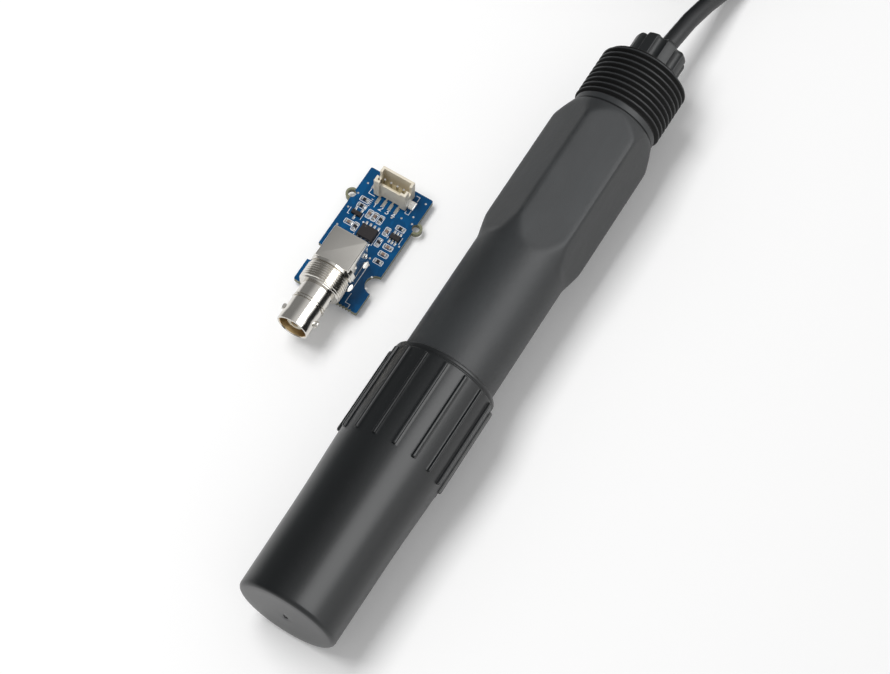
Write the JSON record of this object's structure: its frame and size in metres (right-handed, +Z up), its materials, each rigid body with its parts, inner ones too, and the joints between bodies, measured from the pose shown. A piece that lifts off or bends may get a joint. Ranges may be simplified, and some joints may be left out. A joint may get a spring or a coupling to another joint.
{
  "type": "redox sensor kit",
  "caption": "Industrial redox electrode in its screw-on soaking cap, with cable, bayonet plug and a small interface board with a matching jack.",
  "frame": {"origin": "on the floor, in the middle of the box round the electrode and the board", "axes": "+X runs along the electrode from the closed end of the soaking cap to the cable, +Y points from the electrode to the board, +Z is up"},
  "size_m": [0.3195, 0.1019, 0.0347],
  "materials": {
    "cap_plastic": "smooth semi-gloss moulded plastic",
    "seal_rubber": "soft matte rubber",
    "sponge": "open-cell foam, wet",
    "body_plastic": "fine matte moulded plastic",
    "probe_glass": "clear glass",
    "platinum": "polished platinum",
    "silver_wire": "drawn silver wire",
    "junction_ceramic": "porous white plastic",
    "potting_resin": "cast resin",
    "gland_plastic": "semi-gloss moulded plastic",
    "board_laminate": "satin solder mask over glass laminate",
    "jack_nickel": "bright nickel plate",
    "insulator_white": "smooth white plastic",
    "contact_gold": "gold flash",
    "tinned_metal": "bright tin",
    "header_ivory": "satin ivory nylon",
    "chip_black": "fine matte moulding",
    "capacitor_tan": "fired ceramic",
    "resistor_black": "glazed top",
    "cable_jacket": "satin extruded jacket",
    "plug_nickel": "bright nickel plate",
    "boot_rubber": "matte moulded rubber"
  },
  "bodies": {
    "root": {"probe_body": "body_plastic", "glass_tube": "probe_glass", "platinum_disc": "platinum", "platinum_lead": "platinum", "reference_wire": "silver_wire", "tip_ring": "seal_rubber", "reference_junction": "junction_ceramic", "potting_plug": "potting_resin", "gland_seal": "seal_rubber", "gland_nut": "gland_plastic", "circuit_board": "board_laminate", "jack_shell": "jack_nickel", "jack_insulator": "insulator_white", "jack_contact": "contact_gold", "jack_posts": "tinned_metal", "header_housing": "header_ivory", "header_pins": "tinned_metal", "header_tabs": "tinned_metal", "amplifier_chip": "chip_black", "amplifier_leads": "tinned_metal", "converter_chip": "chip_black", "converter_leads": "tinned_metal", "transistor": "chip_black", "transistor_leads": "tinned_metal", "capacitor_bodies": "capacitor_tan", "resistor_bodies": "resistor_black", "chip_terminals": "tinned_metal", "cable_run": "cable_jacket", "cable_coil": "cable_jacket", "cable_tail": "cable_jacket", "plug_body": "plug_nickel", "plug_insulator": "insulator_white", "plug_pin": "contact_gold", "plug_ferrule": "plug_nickel", "plug_boot": "boot_rubber"},
    "cap_drawn": {"soaking_sponge": "sponge"},
    "cap_risen": {"cap_gasket": "seal_rubber"},
    "cap": {"soaking_cap": "cap_plastic"},
    "coupling_sleeve": {"plug_sleeve": "plug_nickel"}
  },
  "joints": [
    {"name": "cap_pull", "type": "slide", "parent": "root", "child": "cap_drawn", "axis": [-1, 0, 0], "range_m": [0, 0.06]},
    {"name": "cap_advance", "type": "slide", "parent": "cap_drawn", "child": "cap_risen", "axis": [-1, 0, 0], "range_m": [0, 0.01452]},
    {"name": "cap_turn", "type": "hinge", "parent": "cap_risen", "child": "cap", "pos_m": [-0.01945, -0.01932, 0.0159], "axis": [-1, 0, 0], "range_deg": [0, 2880]},
    {"name": "plug_sleeve_turn", "type": "hinge", "parent": "root", "child": "coupling_sleeve", "pos_m": [0.1406, 0.0479, 0.0275], "axis": [1, 0, 0], "continuous": true}
  ],
  "couplings": [
    {"joint": "cap_advance", "follows": "cap_turn", "m_per_rad": 0.00028875}
  ]
}
